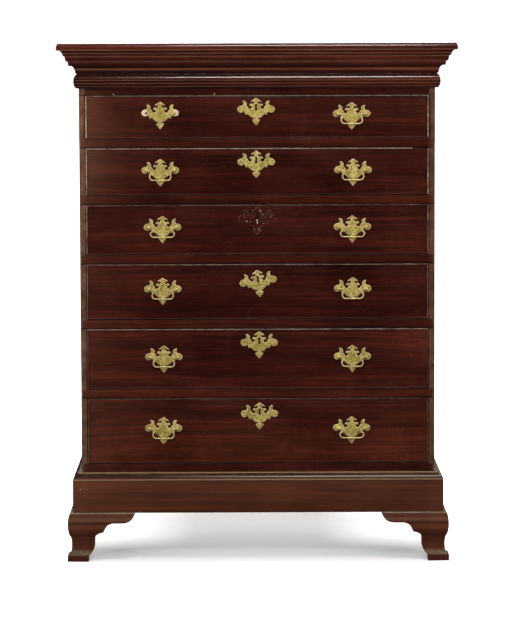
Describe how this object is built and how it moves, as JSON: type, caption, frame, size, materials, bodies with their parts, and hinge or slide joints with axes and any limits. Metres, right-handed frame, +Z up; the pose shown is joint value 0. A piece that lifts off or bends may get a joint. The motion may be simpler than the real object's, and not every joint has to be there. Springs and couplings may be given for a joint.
{
  "type": "tall chest of drawers",
  "caption": "Tall mahogany chest of graduated cock-beaded drawers with a deep moulded cornice, a plinth, ogee bracket feet, pierced brass plates and swinging bails.",
  "frame": {"origin": "on the floor, under the middle of the overall box (top board's width and depth)", "axes": "+Z up, -Y towards the front, which the drawers open to, +X to the right as one faces the chest"},
  "size_m": [1.064, 0.567, 1.388],
  "materials": {
    "case_mahogany": "old french polish, glossy, worn at the edges",
    "drawer_mahogany": "old french polish, glossy",
    "secondary_wood": "bare planed pine",
    "brass": "old polished cast brass",
    "iron": "dark, worn bright at the tip"
  },
  "bodies": {
    "carcase": {"back_boards": "secondary_wood", "base_moulding": "case_mahogany", "bottom_board": "secondary_wood", "cornice_front": "case_mahogany", "cornice_left": "case_mahogany", "cornice_right": "case_mahogany", "drawer_blades": "case_mahogany", "drawer_runners": "secondary_wood", "foot_blocks": "secondary_wood", "foot_front_left": "case_mahogany", "foot_front_right": "case_mahogany", "foot_rear_left": "case_mahogany", "foot_rear_right": "case_mahogany", "plinth": "case_mahogany", "side_left": "case_mahogany", "side_right": "case_mahogany", "top_board": "case_mahogany", "top_rail": "case_mahogany"},
    "drawer_1": {"drawer_1_front": "drawer_mahogany", "drawer_1_bead": "drawer_mahogany", "drawer_1_box": "secondary_wood", "drawer_1_brasses": "brass"},
    "lock_bolt_1": {"lock_bolt_1": "iron"},
    "bail_1_right": {"bail_1_right": "brass"},
    "drawer_2": {"drawer_2_front": "drawer_mahogany", "drawer_2_bead": "drawer_mahogany", "drawer_2_box": "secondary_wood", "drawer_2_brasses": "brass"},
    "lock_bolt_2": {"lock_bolt_2": "iron"},
    "bail_2_left": {"bail_2_left": "brass"},
    "bail_2_right": {"bail_2_right": "brass"},
    "drawer_3": {"drawer_3_front": "drawer_mahogany", "drawer_3_bead": "drawer_mahogany", "drawer_3_box": "secondary_wood", "drawer_3_brasses": "brass"},
    "lock_bolt_3": {"lock_bolt_3": "iron"},
    "bail_3_left": {"bail_3_left": "brass"},
    "bail_3_right": {"bail_3_right": "brass"},
    "drawer_4": {"drawer_4_front": "drawer_mahogany", "drawer_4_bead": "drawer_mahogany", "drawer_4_box": "secondary_wood", "drawer_4_brasses": "brass"},
    "lock_bolt_4": {"lock_bolt_4": "iron"},
    "bail_4_left": {"bail_4_left": "brass"},
    "bail_4_right": {"bail_4_right": "brass"},
    "drawer_5": {"drawer_5_front": "drawer_mahogany", "drawer_5_bead": "drawer_mahogany", "drawer_5_box": "secondary_wood", "drawer_5_brasses": "brass"},
    "lock_bolt_5": {"lock_bolt_5": "iron"},
    "bail_5_left": {"bail_5_left": "brass"},
    "bail_5_right": {"bail_5_right": "brass"},
    "drawer_6": {"drawer_6_front": "drawer_mahogany", "drawer_6_bead": "drawer_mahogany", "drawer_6_box": "secondary_wood", "drawer_6_brasses": "brass"},
    "lock_bolt_6": {"lock_bolt_6": "iron"},
    "bail_6_left": {"bail_6_left": "brass"},
    "bail_6_right": {"bail_6_right": "brass"}
  },
  "joints": [
    {"name": "drawer_1_slide", "type": "slide", "parent": "carcase", "child": "drawer_1", "axis": [0, -1, 0], "range_m": [0, 0.38]},
    {"name": "lock_bolt_1_rise", "type": "slide", "parent": "drawer_1", "child": "lock_bolt_1", "axis": [0, 0, 1], "range_m": [0, 0.008]},
    {"name": "bail_1_right_swing", "type": "hinge", "parent": "drawer_1", "child": "bail_1_right", "pos_m": [0.2525, -0.2375, 1.19925], "axis": [-1, 0, 0], "range_deg": [-15, 180]},
    {"name": "drawer_2_slide", "type": "slide", "parent": "carcase", "child": "drawer_2", "axis": [0, -1, 0], "range_m": [0, 0.38]},
    {"name": "lock_bolt_2_rise", "type": "slide", "parent": "drawer_2", "child": "lock_bolt_2", "axis": [0, 0, 1], "range_m": [0, 0.008]},
    {"name": "bail_2_left_swing", "type": "hinge", "parent": "drawer_2", "child": "bail_2_left", "pos_m": [-0.259, -0.2375, 1.0493], "axis": [-1, 0, 0], "range_deg": [-15, 180]},
    {"name": "bail_2_right_swing", "type": "hinge", "parent": "drawer_2", "child": "bail_2_right", "pos_m": [0.256, -0.2375, 1.0493], "axis": [-1, 0, 0], "range_deg": [-15, 180]},
    {"name": "drawer_3_slide", "type": "slide", "parent": "carcase", "child": "drawer_3", "axis": [0, -1, 0], "range_m": [0, 0.38]},
    {"name": "lock_bolt_3_rise", "type": "slide", "parent": "drawer_3", "child": "lock_bolt_3", "axis": [0, 0, 1], "range_m": [0, 0.008]},
    {"name": "bail_3_left_swing", "type": "hinge", "parent": "drawer_3", "child": "bail_3_left", "pos_m": [-0.254, -0.2375, 0.8971], "axis": [-1, 0, 0], "range_deg": [-15, 180]},
    {"name": "bail_3_right_swing", "type": "hinge", "parent": "drawer_3", "child": "bail_3_right", "pos_m": [0.254, -0.2375, 0.8971], "axis": [-1, 0, 0], "range_deg": [-15, 180]},
    {"name": "drawer_4_slide", "type": "slide", "parent": "carcase", "child": "drawer_4", "axis": [0, -1, 0], "range_m": [0, 0.38]},
    {"name": "lock_bolt_4_rise", "type": "slide", "parent": "drawer_4", "child": "lock_bolt_4", "axis": [0, 0, 1], "range_m": [0, 0.008]},
    {"name": "bail_4_left_swing", "type": "hinge", "parent": "drawer_4", "child": "bail_4_left", "pos_m": [-0.254, -0.2375, 0.7314], "axis": [-1, 0, 0], "range_deg": [-15, 180]},
    {"name": "bail_4_right_swing", "type": "hinge", "parent": "drawer_4", "child": "bail_4_right", "pos_m": [0.255, -0.2375, 0.7314], "axis": [-1, 0, 0], "range_deg": [-15, 180]},
    {"name": "drawer_5_slide", "type": "slide", "parent": "carcase", "child": "drawer_5", "axis": [0, -1, 0], "range_m": [0, 0.38]},
    {"name": "lock_bolt_5_rise", "type": "slide", "parent": "drawer_5", "child": "lock_bolt_5", "axis": [0, 0, 1], "range_m": [0, 0.008]},
    {"name": "bail_5_left_swing", "type": "hinge", "parent": "drawer_5", "child": "bail_5_left", "pos_m": [-0.252, -0.2375, 0.5487], "axis": [-1, 0, 0], "range_deg": [-15, 180]},
    {"name": "bail_5_right_swing", "type": "hinge", "parent": "drawer_5", "child": "bail_5_right", "pos_m": [0.254, -0.2375, 0.5487], "axis": [-1, 0, 0], "range_deg": [-15, 180]},
    {"name": "drawer_6_slide", "type": "slide", "parent": "carcase", "child": "drawer_6", "axis": [0, -1, 0], "range_m": [0, 0.38]},
    {"name": "lock_bolt_6_rise", "type": "slide", "parent": "drawer_6", "child": "lock_bolt_6", "axis": [0, 0, 1], "range_m": [0, 0.008]},
    {"name": "bail_6_left_swing", "type": "hinge", "parent": "drawer_6", "child": "bail_6_left", "pos_m": [-0.254, -0.2375, 0.3555], "axis": [-1, 0, 0], "range_deg": [-15, 180]},
    {"name": "bail_6_right_swing", "type": "hinge", "parent": "drawer_6", "child": "bail_6_right", "pos_m": [0.252, -0.2375, 0.3555], "axis": [-1, 0, 0], "range_deg": [-15, 180]}
  ]
}
